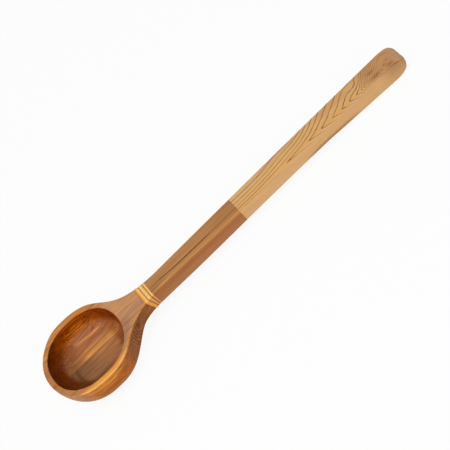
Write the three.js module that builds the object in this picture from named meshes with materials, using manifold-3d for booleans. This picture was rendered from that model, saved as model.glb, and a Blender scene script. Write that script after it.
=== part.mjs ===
// Sauna ladle: a carved wooden bowl with a square-sided neck, a laminated band at the neck,
// and a long handle of two woods. All pieces are glued, with hidden dowels across the end-grain joints.
// Millimetres, +Z up. The pieces are drawn in the ladle's own frame, with X from the centre of the bowl
// to the end of the handle, Y across, and Z = 0 on the flat top face that the rim and the handle share.
// The finished ladle is then turned to lie as it does on a shelf: on the foot of the bowl and the heel
// of the handle.
import * as THREE from 'three';
import { mergeVertices } from 'three/addons/utils/BufferGeometryUtils.js';
import { ParametricGeometry } from 'three/addons/geometries/ParametricGeometry.js';
import Module from 'manifold-3d';

// Bowl
const RIM_LENGTH = 94.8;
const RIM_WIDTH = 95.4;
const RIM_SQUARENESS = 2.1;        // superellipse exponent of the rim's outer edge
const RIM_END_WALL = 5.9;          // width of the flat on top of the rim, at its ends and at its sides
const RIM_SIDE_WALL = 6.9;
const BOWL_HEIGHT = 32.5;
const WALL_HEIGHT = 9.2;           // upright part of the outer wall under the rim, at the sides
const FRONT_WALL_HEIGHT = 1;       // and at the front, which is raked back
const UNDERSIDE_SQUARENESS = 2.75; // superellipse exponent of the rounding under the sides
const FRONT_SQUARENESS = 2.4;      // and under the front
const RAKE_SHARPNESS = 3;          // how soon the rake of the front fades out to the sides
const HOLLOW_DEPTH = 21;
const HOLLOW_SQUARENESS = 2.23;    // superellipse exponent of the rim's inner edge
const HOLLOW_WALL_RUN = 14.3;      // distance that the hollow's wall comes in from the rim to the floor
const HOLLOW_WALL_CURVE = 2.3;     // superellipse exponent of the wall's curve into the floor
const HOLLOW_FLOOR_SHIFT = 2.7;    // the floor lies towards the handle, so the front wall slopes more
const FOOT_CUT = 0.8;              // depth of the flat sanded under the bowl

// Neck of the bowl
const NECK_LENGTH = 22.9;          // from the rim's back edge to the band, on the top face
const NECK_THICKNESS = 15.4;
const NECK_THINNING = 13;          // from the rim's back edge to where the neck is at its own thickness
const FLANK_START = 6;             // where the sides leave the round of the rim
const FLANK_RIM_ARM = 35.7;        // reach of the flank's curve from the rim, and from the waist
const FLANK_WAIST_ARM = 62.7;
const SHOULDER_AT = 39;            // where the neck's upright sides are deepest
const SHOULDER_DEPTH = 19.9;

// Laminated band, from the bowl to the handle: the width of each strip on the top face, and the lean
// of its handle-side face from upright, in degrees
const BAND_BOWL_FACE_LEAN = 14;
const AMBER_STRIP_WIDTH = 3.8;
const AMBER_STRIP_LEAN = 11;
const BOWL_VENEER_WIDTH = 0.9;
const BOWL_VENEER_LEAN = 11;
const CORE_WIDTH = 3.3;
const CORE_LEAN = 4;
const HANDLE_VENEER_WIDTH = 1.1;
const HANDLE_VENEER_LEAN = 4;
const BRIGHT_STRIP_WIDTH = 2;
const BRIGHT_STRIP_LEAN = 0.5;
const BAND_PROUD = 0.3;            // the band stands this far out of its neighbours

// Handle
const LOWER_HANDLE_LENGTH = 111.3;
const UPPER_HANDLE_LENGTH = 209;
const WAIST_PAST_BAND = 14.5;      // place where the handle is narrowest across and thickest
const WAIST_WIDTH = 17.6;
const WAIST_THICKNESS = 17.5;
const GRIP_WIDTH = 24.2;           // at the end of the handle
const GRIP_SWELL = 1.7;            // how early the sides run out to that width
const SLIM_PAST_JOINT = 77;        // place where the handle is thinnest
const SLIM_THICKNESS = 14.2;
const HEEL_THICKNESS = 18.6;
const NOSE_TOP_LENGTH = 17;
const NOSE_TOP_DROP = 7.5;
const NOSE_UNDER_LENGTH = 17;
const NOSE_UNDER_RISE = 10.6;
const END_CORNER_RADIUS = 6;

// Dowels
const DOWEL_DIAMETER = 5;
const DOWEL_SPACING = 8.6;
const NECK_DOWEL_LENGTH = 44;
const HANDLE_DOWEL_LENGTH = 40;

// Fits
const GLUE_LINE = 0.3;             // between two glued faces
const DOWEL_CLEARANCE = 0.3;       // all round a dowel and at its ends
const TRIMMINGS = 6;               // spare length that is cut off at the glued faces
const CUTTER_LENGTHS = 4;          // a cutting block is this many times as long as the ladle
const MERGE_DISTANCE = 1e-4;       // points nearer than this are one point

// Smoothness of the facets
const NECK_STEPS = 4;              // across half of the neck's end
const FLANK_STEPS = 12;
const FLANK_SAMPLES = 96;          // points from which the flank's width is read
const RIM_STEPS = 16;
const HOLLOW_STEPS = 7;
const UNDERSIDE_STEPS = 14;
const NOSE_STEPS = 7;
const DOWEL_SIDES = 16;
const STATION_STEP = 12;           // spacing of the points along the handle's long curves

// The glued faces across the ladle: the band's, in order from the bowl, and the joint of the two woods.
const rimReach = RIM_LENGTH / 2;
const rimHalfWidth = RIM_WIDTH / 2;
const bandFaces = [{ x: rimReach + NECK_LENGTH, lean: BAND_BOWL_FACE_LEAN }];
for (const [width, lean] of [
  [AMBER_STRIP_WIDTH, AMBER_STRIP_LEAN],
  [BOWL_VENEER_WIDTH, BOWL_VENEER_LEAN],
  [CORE_WIDTH, CORE_LEAN],
  [HANDLE_VENEER_WIDTH, HANDLE_VENEER_LEAN],
  [BRIGHT_STRIP_WIDTH, BRIGHT_STRIP_LEAN],
]) {
  bandFaces.push({ x: bandFaces.at(-1).x + width, lean });
}
const bandStart = bandFaces[0];
const bandEnd = bandFaces.at(-1);
const handleJoint = { x: bandEnd.x + LOWER_HANDLE_LENGTH, lean: 0 };

// Places along the ladle
const waistAt = bandEnd.x + WAIST_PAST_BAND;
const slimAt = handleJoint.x + SLIM_PAST_JOINT;
const handleEnd = handleJoint.x + UPPER_HANDLE_LENGTH;
const heelAt = handleEnd - NOSE_UNDER_LENGTH;
const thinNeckAt = rimReach + NECK_THINNING;

// The surface that the ladle lies on passes under the foot, below the bowl's centre, and under the heel.
const footDepth = BOWL_HEIGHT - FOOT_CUT;
const restAngle = Math.atan2(footDepth - HEEL_THICKNESS, heelAt);

const wasm = await Module();
wasm.setup();

function toSolid(geometry) {
  const bare = geometry.clone();
  bare.deleteAttribute('normal');
  bare.deleteAttribute('uv');
  const merged = mergeVertices(bare, MERGE_DISTANCE);
  return new wasm.Manifold(new wasm.Mesh({
    numProp: 3,
    vertProperties: new Float32Array(merged.attributes.position.array),
    triVerts: new Uint32Array(merged.index.array),
  }));
}

function toGeometry(solid) {
  const mesh = solid.getMesh();
  const geometry = new THREE.BufferGeometry();
  geometry.setAttribute('position', new THREE.BufferAttribute(mesh.vertProperties, 3));
  geometry.setIndex(new THREE.BufferAttribute(mesh.triVerts, 1));
  geometry.computeVertexNormals();
  return geometry;
}

// A value that eases from one station to the next, each station being [place, value].
function ease(stations, x) {
  const next = stations.findIndex(([place]) => x < place);
  if (next === 0) return stations[0][1];
  if (next === -1) return stations.at(-1)[1];
  const [fromPlace, fromValue] = stations[next - 1];
  const [toPlace, toValue] = stations[next];
  const step = THREE.MathUtils.smoothstep(x, fromPlace, toPlace);
  return THREE.MathUtils.lerp(fromValue, toValue, step);
}

// Distance from a superellipse's centre to its edge, as a share of a unit circle's radius.
function superRadius(c, s, squareness) {
  return (Math.abs(c) ** squareness + Math.abs(s) ** squareness) ** (-1 / squareness);
}

// Height of a quarter of a superellipse of unit radius, at a reach from its centre.
function superHeight(reach, squareness) {
  return (1 - Math.min(1, reach) ** squareness) ** (1 / squareness);
}

// The flank leaves the rim along its tangent and runs into the waist parallel to the handle.
const flankStart = new THREE.Vector2(
  FLANK_START,
  rimHalfWidth * superHeight(FLANK_START / rimReach, RIM_SQUARENESS),
);
const flankSlope = -((rimHalfWidth / rimReach) ** RIM_SQUARENESS)
  * (flankStart.x / flankStart.y) ** (RIM_SQUARENESS - 1);
const flank = new THREE.CubicBezierCurve(
  flankStart,
  new THREE.Vector2(FLANK_START + FLANK_RIM_ARM, flankStart.y + FLANK_RIM_ARM * flankSlope),
  new THREE.Vector2(waistAt - FLANK_WAIST_ARM, WAIST_WIDTH / 2),
  new THREE.Vector2(waistAt, WAIST_WIDTH / 2),
);
const flankPoints = flank.getPoints(FLANK_SAMPLES);

// Half-width of the top face: the rim to the flank's start, the flank to the waist, and the handle.
function halfWidthAt(x) {
  if (x <= flankStart.x) return rimHalfWidth * superHeight(Math.abs(x) / rimReach, RIM_SQUARENESS);
  if (x < waistAt) {
    const next = flankPoints.findIndex((point) => point.x > x);
    const [from, to] = [flankPoints[next - 1], flankPoints[next]];
    return THREE.MathUtils.mapLinear(x, from.x, to.x, from.y, to.y);
  }
  const toGo = (handleEnd - x) / (handleEnd - waistAt);
  return THREE.MathUtils.lerp(GRIP_WIDTH, WAIST_WIDTH, toGo ** GRIP_SWELL) / 2;
}

// Depth of the upright sides below the top face, from the bowl to the heel.
function sideDepthAt(x) {
  return ease([
    [0, WALL_HEIGHT],
    [SHOULDER_AT, SHOULDER_DEPTH],
    [thinNeckAt, NECK_THICKNESS],
    [waistAt, WAIST_THICKNESS],
    [slimAt, SLIM_THICKNESS],
    [heelAt, HEEL_THICKNESS],
  ], x);
}

// Depth of the bowl piece's underside. In front of the bowl's centre it is rounded under the rim, and
// more and more raked towards the tip. Behind the centre each section is rounded from the middle out to
// its own upright sides, and its middle rises to the neck.
function undersideDepthAt(x, y) {
  if (x < 0) {
    const [lengthwise, across] = [x / rimReach, y / rimHalfWidth];
    const away = Math.hypot(lengthwise, across);
    const rake = Math.abs(lengthwise / away) ** RAKE_SHARPNESS;
    const wall = THREE.MathUtils.lerp(WALL_HEIGHT, FRONT_WALL_HEIGHT, rake);
    const squareness = THREE.MathUtils.lerp(UNDERSIDE_SQUARENESS, FRONT_SQUARENESS, rake);
    const reach = away / superRadius(lengthwise / away, across / away, RIM_SQUARENESS);
    return THREE.MathUtils.lerp(wall, BOWL_HEIGHT, superHeight(reach, squareness));
  }
  const side = sideDepthAt(x);
  const middle = Math.max(side, ease([[FLANK_START, BOWL_HEIGHT], [thinNeckAt, NECK_THICKNESS]], x));
  return THREE.MathUtils.lerp(side, middle, superHeight(Math.abs(y) / halfWidthAt(x), UNDERSIDE_SQUARENESS));
}

// Outline of the bowl piece in plan, from the middle of the neck's end round to the tip of the rim,
// and back along the other side. The neck runs on to the waist and is cut off at the band later.
function bowlOutline() {
  const half = [];
  for (let i = 0; i < NECK_STEPS; i += 1) half.push(new THREE.Vector2(waistAt, flank.v3.y * i / NECK_STEPS));
  for (let i = 0; i <= FLANK_STEPS; i += 1) half.push(flank.getPoint(1 - i / FLANK_STEPS));
  const startAngle = Math.atan2(flankStart.y / rimHalfWidth, flankStart.x / rimReach);
  for (let i = 1; i < RIM_STEPS; i += 1) {
    const angle = THREE.MathUtils.lerp(startAngle, Math.PI, i / RIM_STEPS);
    half.push(superPoint(angle, rimReach, rimHalfWidth, RIM_SQUARENESS));
  }
  const mirrored = half.slice(1).reverse().map((point) => new THREE.Vector2(point.x, -point.y));
  return [...half, new THREE.Vector2(-rimReach, 0), ...mirrored];
}

// Point of a superellipse in the direction of an angle taken on the unit circle.
function superPoint(angle, halfLength, halfWidth, squareness) {
  const radius = superRadius(Math.cos(angle), Math.sin(angle), squareness);
  return new THREE.Vector2(radius * Math.cos(angle) * halfLength, radius * Math.sin(angle) * halfWidth);
}

// The bowl piece as one skin: out along the underside from the middle of the foot, up the outer wall,
// across the rim, down the wall of the hollow and in to the middle of its floor.
function bowlGeometry() {
  const outline = bowlOutline();
  const quarter = Math.PI / 2;
  const onUnderside = (turn) => (edge, target) => {
    const [x, y] = [edge.x * Math.sin(turn), edge.y * Math.sin(turn)];
    target.set(x, y, -undersideDepthAt(x, y));
  };
  const onRimEdge = (edge, target) => target.set(edge.x, edge.y, 0);
  const hollowReach = rimReach - RIM_END_WALL;
  const hollowHalfWidth = rimHalfWidth - RIM_SIDE_WALL;
  const onHollow = (turn) => (edge, target) => {
    const angle = Math.atan2(edge.y / rimHalfWidth, edge.x / rimReach);
    const inwards = HOLLOW_WALL_RUN * (1 - Math.cos(turn) ** (2 / HOLLOW_WALL_CURVE));
    const down = Math.sin(turn) ** (2 / HOLLOW_WALL_CURVE);
    const ring = superPoint(angle, hollowReach - inwards, hollowHalfWidth - inwards, HOLLOW_SQUARENESS);
    const shift = HOLLOW_FLOOR_SHIFT * inwards / HOLLOW_WALL_RUN;
    target.set(ring.x + shift, ring.y, -HOLLOW_DEPTH * down);
  };
  const onFloorMiddle = (edge, target) => target.set(HOLLOW_FLOOR_SHIFT, 0, -HOLLOW_DEPTH);
  const rows = [];
  for (let i = 0; i <= UNDERSIDE_STEPS; i += 1) rows.push(onUnderside(quarter * i / UNDERSIDE_STEPS));
  rows.push(onRimEdge);
  for (let i = 0; i <= HOLLOW_STEPS; i += 1) rows.push(onHollow(quarter * i / HOLLOW_STEPS));
  rows.push(onFloorMiddle);
  const place = (u, v, target) => {
    const edge = outline[Math.round(u * outline.length) % outline.length];
    rows[Math.round(v * (rows.length - 1))](edge, target);
  };
  return new ParametricGeometry(place, outline.length, rows.length - 1);
}

// A block that reaches past the whole ladle, on the side of the origin that its offset points to.
function hugeBlock(xOffset, zOffset) {
  const size = CUTTER_LENGTHS * handleEnd;
  const block = new THREE.BoxGeometry(size, size, size);
  block.translate(xOffset * size / 2, 0, zOffset * size / 2);
  return block;
}

// Everything past a plane across the ladle. The plane crosses the top face at x, and below it leans
// towards the handle by lean degrees. Side is 1 for what lies towards the handle, -1 towards the bowl.
function beyond(x, lean, side) {
  const block = hugeBlock(side, 0);
  block.rotateY(-THREE.MathUtils.degToRad(lean));
  block.translate(x, 0, 0);
  return toSolid(block);
}

// Everything below the surface that the ladle lies on.
function belowRest() {
  const block = hugeBlock(0, -1);
  block.rotateY(-restAngle);
  block.translate(0, 0, -footDepth);
  return toSolid(block);
}

// Places from one end of a run to the other, no further apart than the station step.
function stations(from, to) {
  const steps = Math.ceil((to - from) / STATION_STEP);
  return Array.from({ length: steps + 1 }, (_, i) => THREE.MathUtils.lerp(from, to, i / steps));
}

// Where a plan and a side outline, both extruded right through each other, overlap.
function crossed(plan, side) {
  const through = 2 * RIM_WIDTH;
  const options = { depth: through, bevelEnabled: false, curveSegments: NOSE_STEPS };
  const upright = new THREE.ExtrudeGeometry(plan, options);
  upright.translate(0, 0, -through / 2);
  const across = new THREE.ExtrudeGeometry(side, options);
  across.translate(0, 0, -through / 2);
  across.rotateX(Math.PI / 2);
  return toSolid(upright).intersect(toSolid(across));
}

// Blank for the band: the neck's own plan and thickness, standing proud all round.
function bandBlank() {
  const run = stations(bandStart.x - TRIMMINGS, waistAt + TRIMMINGS);
  const plan = new THREE.Shape([
    ...run.map((x) => new THREE.Vector2(x, -halfWidthAt(x) - BAND_PROUD)),
    ...run.toReversed().map((x) => new THREE.Vector2(x, halfWidthAt(x) + BAND_PROUD)),
  ]);
  const side = new THREE.Shape([
    ...run.map((x) => new THREE.Vector2(x, -sideDepthAt(x) - BAND_PROUD)),
    new THREE.Vector2(run.at(-1), BAND_PROUD),
    new THREE.Vector2(run[0], BAND_PROUD),
  ]);
  return crossed(plan, side);
}

// Blank for the whole handle, with rounded corners in plan and a rounded nose seen from the side.
function handleBlank() {
  const cornersAt = handleEnd - END_CORNER_RADIUS;
  const sides = stations(bandStart.x, cornersAt);
  const cornerCentre = halfWidthAt(cornersAt) - END_CORNER_RADIUS;
  const plan = new THREE.Shape(sides.map((x) => new THREE.Vector2(x, -halfWidthAt(x))));
  plan.absarc(cornersAt, -cornerCentre, END_CORNER_RADIUS, -Math.PI / 2, 0);
  plan.absarc(cornersAt, cornerCentre, END_CORNER_RADIUS, 0, Math.PI / 2);
  for (const x of sides.toReversed()) plan.lineTo(x, halfWidthAt(x));

  const noseAt = handleEnd - NOSE_TOP_LENGTH;
  const noseFloor = HEEL_THICKNESS - NOSE_UNDER_RISE;
  const underside = stations(bandStart.x, heelAt);
  const side = new THREE.Shape(underside.map((x) => new THREE.Vector2(x, -sideDepthAt(x))));
  side.absellipse(heelAt, -noseFloor, NOSE_UNDER_LENGTH, NOSE_UNDER_RISE, -Math.PI / 2, 0);
  side.absellipse(noseAt, -NOSE_TOP_DROP, NOSE_TOP_LENGTH, NOSE_TOP_DROP, 0, Math.PI / 2);
  side.lineTo(bandStart.x, 0);
  return crossed(plan, side);
}

// A piece between two glued faces, each half a glue line away from it.
function between(solid, bowlFace, handleFace) {
  const half = GLUE_LINE / 2;
  let piece = solid;
  if (bowlFace) piece = piece.subtract(beyond(bowlFace.x + half, bowlFace.lean, -1));
  if (handleFace) piece = piece.subtract(beyond(handleFace.x - half, handleFace.lean, 1));
  return piece;
}

// A round rod along X, by its middle.
function rod(x, y, z, length, radius) {
  const geometry = new THREE.CylinderGeometry(radius, radius, length, DOWEL_SIDES);
  geometry.rotateZ(Math.PI / 2);
  geometry.translate(x, y, z);
  return geometry;
}

// Dowels: two across the neck and its band, and two across the joint of the two woods.
const dowels = [];
for (const [joint, x, length] of [
  ['neck', (bandStart.x + bandEnd.x) / 2, NECK_DOWEL_LENGTH],
  ['handle', handleJoint.x, HANDLE_DOWEL_LENGTH],
]) {
  for (const [place, y] of [['near', -DOWEL_SPACING / 2], ['far', DOWEL_SPACING / 2]]) {
    const z = -sideDepthAt(x) / 2;
    const radius = DOWEL_DIAMETER / 2;
    const hole = rod(x, y, z, length + 2 * DOWEL_CLEARANCE, radius + DOWEL_CLEARANCE);
    dowels.push({ name: `${joint}_dowel_${place}`, geometry: rod(x, y, z, length, radius), hole: toSolid(hole) });
  }
}

function drilled(solid) {
  return dowels.reduce((piece, dowel) => piece.subtract(dowel.hole), solid);
}

// Woods
const wood = (color, roughness) => new THREE.MeshStandardMaterial({ color, roughness, metalness: 0 });
const bowlWood = wood(0x9c6238, 0.5);
const lowerHandleWood = wood(0xa9723f, 0.5);
const upperHandleWood = wood(0xd3a56c, 0.55);
const brightWood = wood(0xf0c06a, 0.5);
const coreWood = wood(0xdcab68, 0.5);
const veneerWood = wood(0x8a5632, 0.5);
const dowelWood = wood(0xd9bd90, 0.7);

const ladle = new THREE.Group();
function addPiece(name, geometry, material) {
  const mesh = new THREE.Mesh(geometry, material);
  mesh.name = name;
  ladle.add(mesh);
}

const bowl = between(toSolid(bowlGeometry()).subtract(belowRest()), null, bandStart);
addPiece('bowl', toGeometry(drilled(bowl)), bowlWood);

const drilledBand = drilled(bandBlank());
[
  ['band_strip_bowl_side', brightWood],
  ['band_veneer_bowl_side', veneerWood],
  ['band_core', coreWood],
  ['band_veneer_handle_side', veneerWood],
  ['band_strip_handle_side', brightWood],
].forEach(([name, material], i) => {
  addPiece(name, toGeometry(between(drilledBand, bandFaces[i], bandFaces[i + 1])), material);
});

const drilledHandle = drilled(handleBlank());
addPiece('handle_lower', toGeometry(between(drilledHandle, bandEnd, handleJoint)), lowerHandleWood);
addPiece('handle_upper', toGeometry(between(drilledHandle, handleJoint, null)), upperHandleWood);

for (const dowel of dowels) addPiece(dowel.name, dowel.geometry, dowelWood);

// The ladle lies on the foot of its bowl and the heel of its handle, centred over the origin.
ladle.rotation.y = restAngle;
ladle.updateMatrixWorld(true);
const box = new THREE.Box3().setFromObject(ladle, true);
ladle.position.set(-(box.min.x + box.max.x) / 2, -(box.min.y + box.max.y) / 2, -box.min.z);

const saunaLadle = new THREE.Group();
saunaLadle.add(ladle);

export default saunaLadle;
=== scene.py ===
import math

import bpy
import numpy as np
from mathutils import Matrix, Vector


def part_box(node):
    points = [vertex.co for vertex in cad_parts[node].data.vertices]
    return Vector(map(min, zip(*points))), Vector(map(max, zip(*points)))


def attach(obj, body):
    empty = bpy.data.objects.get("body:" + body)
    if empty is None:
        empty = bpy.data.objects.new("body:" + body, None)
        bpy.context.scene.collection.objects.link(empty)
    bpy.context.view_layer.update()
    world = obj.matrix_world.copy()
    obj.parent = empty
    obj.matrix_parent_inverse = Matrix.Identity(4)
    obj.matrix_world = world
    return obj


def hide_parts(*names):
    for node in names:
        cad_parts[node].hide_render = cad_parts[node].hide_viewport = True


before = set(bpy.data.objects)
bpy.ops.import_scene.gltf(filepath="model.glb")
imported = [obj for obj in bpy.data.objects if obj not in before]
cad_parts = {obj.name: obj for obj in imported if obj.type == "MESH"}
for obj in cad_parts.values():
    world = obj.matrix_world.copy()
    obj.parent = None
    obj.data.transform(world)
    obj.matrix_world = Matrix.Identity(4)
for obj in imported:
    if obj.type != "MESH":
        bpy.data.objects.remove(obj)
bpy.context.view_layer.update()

# Studio: a pale floor under the ladle, one large soft lamp above it and a weaker one in front.
# The floor and the surroundings are white to the camera, and the floor still takes the ladle's shadow.
FLOOR_SIZE = 6.0
FLOOR_DROP = 0.0002
FLOOR_COLOUR = (0.86, 0.86, 0.86, 1.0)
FLOOR_GLOW = 0.92
SKY_STRENGTH = 0.5
WHITE = (1.0, 1.0, 1.0, 1.0)


def add_node(tree, kind, inputs=None, **settings):
    """A node of this kind. Each input is a plain value, or another node's output to link to it."""
    made = tree.nodes.new(kind)
    for name, value in settings.items():
        setattr(made, name, value)
    for name, value in (inputs or {}).items():
        if isinstance(value, bpy.types.NodeSocket):
            tree.links.new(value, made.inputs[name])
        else:
            made.inputs[name].default_value = value
    return made


def calc(tree, operation, first, second=0.0, third=0.0):
    """The output of a Math node on up to three values."""
    return add_node(tree, "ShaderNodeMath", {0: first, 1: second, 2: third}, operation=operation).outputs[0]


def emptied(owner):
    """The node tree of a material or a world, with nothing in it yet."""
    owner.use_nodes = True
    owner.node_tree.nodes.clear()
    return owner.node_tree


def seen_directly(tree):
    """1 where a ray comes straight from the camera, a mirror or glass, and 0 where it carries light."""
    path = add_node(tree, "ShaderNodeLightPath").outputs
    mirrored = calc(tree, "MAXIMUM", path["Is Glossy Ray"], path["Is Transmission Ray"])
    return calc(tree, "MAXIMUM", path["Is Camera Ray"], mirrored)


def put_in_scene(name, data):
    """An object of this name with this data, at the scene's origin."""
    made = bpy.data.objects.new(name, data)
    bpy.context.scene.collection.objects.link(made)
    return made


floor_material = bpy.data.materials.new("studio_floor")
tree = emptied(floor_material)
paper = add_node(tree, "ShaderNodeBsdfDiffuse", {"Color": FLOOR_COLOUR})
glow = add_node(tree, "ShaderNodeEmission", {"Color": WHITE, "Strength": 1.0})
glow_share = calc(tree, "MULTIPLY", seen_directly(tree), FLOOR_GLOW)
floor_look = add_node(tree, "ShaderNodeMixShader", {0: glow_share, 1: paper.outputs[0], 2: glow.outputs[0]})
add_node(tree, "ShaderNodeOutputMaterial", {"Surface": floor_look.outputs[0]})

square = np.array(((-1, -1), (1, -1), (1, 1), (-1, 1))) * FLOOR_SIZE / 2
floor_mesh = bpy.data.meshes.new("studio_floor")
floor_mesh.from_pydata(np.insert(square, 2, -FLOOR_DROP, axis=1).tolist(), [], [(0, 1, 2, 3)])
floor_mesh.materials.append(floor_material)
studio_floor = put_in_scene("studio_floor", floor_mesh)

sky = bpy.data.worlds.new("studio_sky")
tree = emptied(sky)
sky_power = add_node(
    tree, "ShaderNodeMix", {0: seen_directly(tree), 2: SKY_STRENGTH, 3: 1.0}, data_type="FLOAT")
sky_light = add_node(tree, "ShaderNodeBackground", {"Color": WHITE, "Strength": sky_power.outputs[0]})
add_node(tree, "ShaderNodeOutputWorld", {"Surface": sky_light.outputs[0]})
bpy.context.scene.world = sky

for name, place, size, watts in (
    ("lamp_above", (-0.35, -0.35, 1.5), 1.1, 11.0),
    ("lamp_in_front", (0.3, -1.5, 0.7), 1.0, 5.0),
):
    lamp_data = bpy.data.lights.new(name, "AREA")
    lamp_data.shape = "DISK"
    lamp_data.size = size
    lamp_data.energy = watts
    lamp = put_in_scene(name, lamp_data)
    lamp.location = place
    lamp.rotation_euler = Vector(place).to_track_quat("Z", "Y").to_euler()

bpy.context.scene.view_settings.view_transform = "Standard"

# Camera: a long lens, looking down on the ladle from its near side, turned so that the handle runs
# from the lower left of the picture to the upper right.
VIEW_ELEVATION = math.radians(46.40)
VIEW_TURN = math.radians(-3.865)
PICTURE_ROLL = math.radians(-48.15)
VIEW_TARGET = Vector((-0.00274, -0.01024, 0.02575))
VIEW_DISTANCE = 1.66945
LENS = 144.0

ahead = Vector((
    math.sin(VIEW_TURN) * math.cos(VIEW_ELEVATION),
    math.cos(VIEW_TURN) * math.cos(VIEW_ELEVATION),
    -math.sin(VIEW_ELEVATION)))
level = Vector((math.cos(VIEW_TURN), -math.sin(VIEW_TURN), 0.0))
upward = level.cross(ahead)
right = math.cos(PICTURE_ROLL) * level + math.sin(PICTURE_ROLL) * upward
camera_data = bpy.data.cameras.new("camera")
camera_data.lens = LENS
camera = put_in_scene("camera", camera_data)
camera.matrix_world = Matrix.Translation(VIEW_TARGET - VIEW_DISTANCE * ahead) @ Matrix((
    right, right.cross(ahead), -ahead)).transposed().to_4x4()
bpy.context.scene.camera = camera

# Bowl: hollowed and shaped with its square-sided neck from one block of red-brown wood, then sanded and
# oiled. Its rim and neck share the flat top face with the handle, and a small flat foot is sanded under it.
MM = 0.001
RIM_LENGTH = 94.8
RIM_WIDTH = 95.4
RIM_SQUARENESS = 2.1
RIM_END_WALL = 5.9
RIM_SIDE_WALL = 6.9
RIM_EDGE_ROUND = 0.6
NEAR_RIM_FLAT = 1.8
NEAR_RIM_FLAT_REACH = 24.0
FAR_RIM_SWELLS = ((-18.0, 11.0, 1.1), (33.0, 12.0, 1.2))
FAR_RIM_START = (5.0, 20.0)
BOWL_HEIGHT = 32.5
WALL_HEIGHT = 9.2
FRONT_WALL_HEIGHT = 1.0
UNDERSIDE_SQUARENESS = 2.75
FRONT_SQUARENESS = 2.4
RAKE_SHARPNESS = 3.0
HOLLOW_DEPTH = 21.0
HOLLOW_SQUARENESS = 2.23
HOLLOW_WALL_RUN = 14.3
HOLLOW_WALL_CURVE = 2.3
HOLLOW_FLOOR_SHIFT = 2.7
HOLLOW_EDGE_ROUND = 0.5
NEAR_HOLLOW_INSET = 0.9
FOOT_CUT = 0.8
FLANK_START = 6.0
FLANK_RIM_ARM = 35.7
FLANK_WAIST_ARM = 62.7
SHOULDER_AT = 39.0
SHOULDER_DEPTH = 19.9
NECK_LENGTH = 22.9
NECK_THICKNESS = 15.4
NECK_THINNING = 13.0
NECK_SQUARENESS = 12.0
BAND_WIDTHS = (3.8, 0.9, 3.3, 1.1, 2.0)
BAND_LEANS = (14.0, 11.0, 11.0, 4.0, 4.0, 0.5)
WAIST_PAST_BAND = 14.5
WAIST_WIDTH = 17.6
WAIST_THICKNESS = 17.5
LOWER_HANDLE_LENGTH = 111.3
UPPER_HANDLE_LENGTH = 209.0
NOSE_UNDER_LENGTH = 17.0
HEEL_THICKNESS = 18.6

rim_reach = RIM_LENGTH / 2
rim_half_width = RIM_WIDTH / 2
hollow_reach = rim_reach - RIM_END_WALL
hollow_half_width = rim_half_width - RIM_SIDE_WALL
thin_neck_at = rim_reach + NECK_THINNING
band_faces = rim_reach + NECK_LENGTH + np.concatenate([[0.0], np.cumsum(BAND_WIDTHS)])
waist_at = band_faces[-1] + WAIST_PAST_BAND
joint_at = band_faces[-1] + LOWER_HANDLE_LENGTH
handle_end = joint_at + UPPER_HANDLE_LENGTH
heel_at = handle_end - NOSE_UNDER_LENGTH
foot_depth = BOWL_HEIGHT - FOOT_CUT

# The ladle's own frame is in millimetres: x from the bowl's centre to the handle's end, y across, and z up
# from the top face. It rests on foot and heel, and its tip is where the frame's bowl starts.
rest_angle = math.atan2(foot_depth - HEEL_THICKNESS, heel_at)
ladle_origin = np.array((
    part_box("bowl")[0].x / MM + rim_reach * math.cos(rest_angle) + FRONT_WALL_HEIGHT * math.sin(rest_angle),
    0.0, foot_depth * math.cos(rest_angle)))


def laid(points):
    """Points of the ladle's own frame where they lie in the scene, in metres: turned about y by the angle
    at which the ladle rests, moved to the frame's place, and never under the surface it lies on."""
    x, y, z = np.moveaxis(points, -1, 0)
    cos, sin = math.cos(rest_angle), math.sin(rest_angle)
    turned = np.stack([x * cos + z * sin, y, z * cos - x * sin], -1) + ladle_origin
    turned[..., 2] = np.maximum(turned[..., 2], 0.0)
    return turned * MM


def smooth(x, start, end):
    """0 before the start, 1 past the end, and a smoothstep between them."""
    share = np.clip((x - start) / (end - start), 0.0, 1.0)
    return share * share * (3.0 - 2.0 * share)


def ease(x, *stations):
    """A value that follows a smoothstep from each (place, value) to the next, and is level outside them."""
    value = np.full(np.shape(x), stations[0][1], float)
    for (start, before), (end, after) in zip(stations, stations[1:]):
        value = value + (after - before) * smooth(x, start, end)
    return value


def around_line(distance, half_breadth):
    """1 on a line, falling off as a bell curve of this half-breadth with the distance from it."""
    return np.exp(-(distance / half_breadth) ** 2)


def super_height(reach, squareness):
    """Height of a quarter of a superellipse of unit radius, at a reach from its centre."""
    return (1.0 - np.minimum(1.0, reach) ** squareness) ** (1.0 / squareness)


def super_ring(angle, half_length, half_width, squareness):
    """Points of a superellipse, in the directions of these angles on the unit circle."""
    cos, sin = np.cos(angle), np.sin(angle)
    radius = (np.abs(cos) ** squareness + np.abs(sin) ** squareness) ** (-1.0 / squareness)
    return np.stack([radius * cos * half_length, radius * sin * half_width], -1)


def bezier(count, *controls):
    """Points of a cubic Bezier curve: its four control points, weighted by the cubes of the way there and of
    the way to go and by three times their mixed products."""
    way = np.linspace(0.0, 1.0, count)
    weights = np.stack([(1 - way) ** 3, 3 * (1 - way) ** 2 * way, 3 * (1 - way) * way ** 2, way ** 3], -1)
    return weights @ np.array(controls)


FLANK_STEPS = 400
flank_top = rim_half_width * super_height(FLANK_START / rim_reach, RIM_SQUARENESS)
flank_slope = -((FLANK_START / flank_top) ** (RIM_SQUARENESS - 1)
                * (rim_half_width / rim_reach) ** RIM_SQUARENESS)
flank = bezier(
    FLANK_STEPS,
    (FLANK_START, flank_top),
    (FLANK_START + FLANK_RIM_ARM, flank_top + FLANK_RIM_ARM * flank_slope),
    (waist_at - FLANK_WAIST_ARM, WAIST_WIDTH / 2),
    (waist_at, WAIST_WIDTH / 2))


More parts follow.
